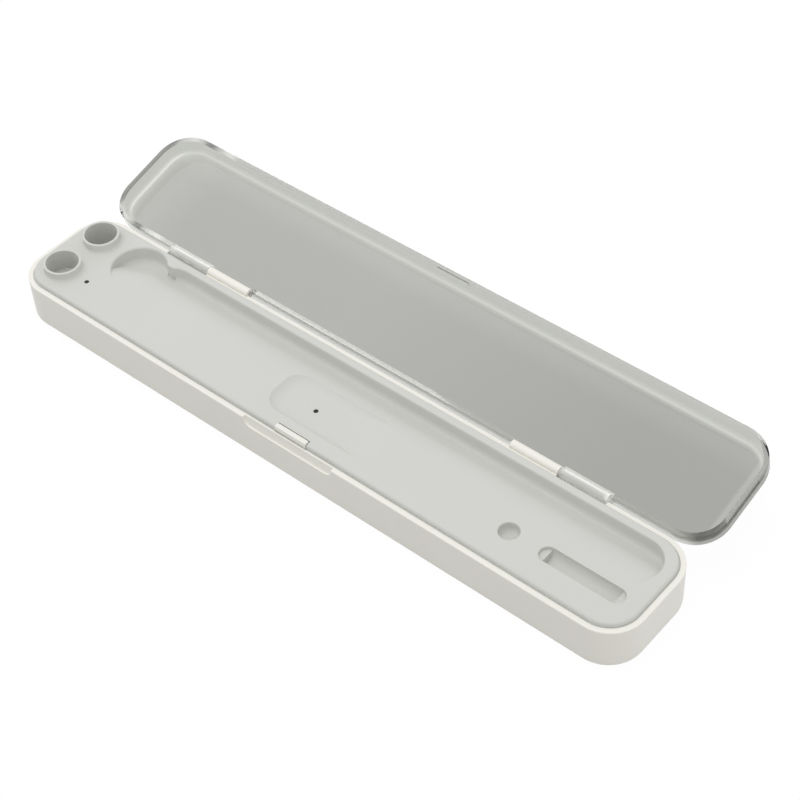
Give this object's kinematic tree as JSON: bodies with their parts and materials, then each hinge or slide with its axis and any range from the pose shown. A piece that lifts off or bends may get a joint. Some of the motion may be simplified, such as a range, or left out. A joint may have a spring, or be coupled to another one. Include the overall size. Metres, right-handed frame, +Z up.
{
  "type": "toothbrush sanitizer case",
  "caption": "Slim white toothbrush case with a clear smoky hinged lid, a moulded tray with a handle trough, raised cups and small holders, and ultraviolet lamps under the tray",
  "frame": {"origin": "centre of the flat underside of the tub", "axes": "+X along the case toward its right end, +Y from the finger recess to the hinges, +Z up"},
  "size_m": [0.225, 0.0759, 0.0244],
  "materials": {
    "shell_white": "satin moulded white plastic",
    "tray_white": "matte moulded white plastic",
    "lid_clear": "clear smoky grey plastic, polished",
    "pin_steel": "drawn steel pin",
    "latch_white": "satin moulded white plastic",
    "switch_black": "moulded black plastic",
    "plunger_ivory": "moulded ivory plastic",
    "lead_red": "flat lead with a soft red jacket",
    "board_green": "green circuit board",
    "socket_metal": "plated steel shell",
    "chip_black": "black moulded chip",
    "coil_grey": "dark grey ferrite",
    "connector_ivory": "ivory connector housing",
    "screw_steel": "zinc plated steel",
    "battery_foil": "laminated foil pouch",
    "pad_foam": "dark grey foam tape",
    "lamp_ceramic": "pale ceramic lamp package",
    "window_dark": "small dark window"
  },
  "bodies": {
    "base": {"base_shell": "shell_white", "inner_tray": "tray_white", "hinge_pin_left": "pin_steel", "hinge_pin_right": "pin_steel", "interlock_switch": "switch_black", "switch_leads": "lead_red", "main_board": "board_green", "usb_socket": "socket_metal", "control_chip": "chip_black", "power_coil": "coil_grey", "lead_sockets": "connector_ivory", "board_screws": "screw_steel", "battery_cell": "battery_foil", "battery_pad": "pad_foam", "battery_leads": "lead_red", "lamp_board_head": "board_green", "lamp_board_middle": "board_green", "uvc_lamp_head": "lamp_ceramic", "uvc_lamp_middle": "lamp_ceramic", "lamp_window_head": "window_dark", "lamp_window_middle": "window_dark", "lamp_leads_head": "lead_red", "lamp_leads_middle": "lead_red", "lamp_screws": "screw_steel", "tray_screws": "screw_steel"},
    "lid": {"lid": "lid_clear"},
    "latch": {"latch_tab": "latch_white"},
    "plunger": {"switch_plunger": "plunger_ivory"}
  },
  "joints": [
    {"name": "lid_hinge", "type": "hinge", "parent": "base", "child": "lid", "pos_m": [0, 0.0194, 0.0147], "axis": [1, 0, 0], "range_deg": [0, 165]},
    {"name": "latch_slide", "type": "slide", "parent": "base", "child": "latch", "axis": [0, 1, 0], "range_m": [0, 0.0004], "stiffness_N_per_m": 900},
    {"name": "plunger_slide", "type": "slide", "parent": "base", "child": "plunger", "axis": [0, 1, 0], "range_m": [0, 0.0005]}
  ],
  "couplings": [
    {"joint": "plunger_slide", "follows": "latch_slide", "ratio": 1}
  ]
}
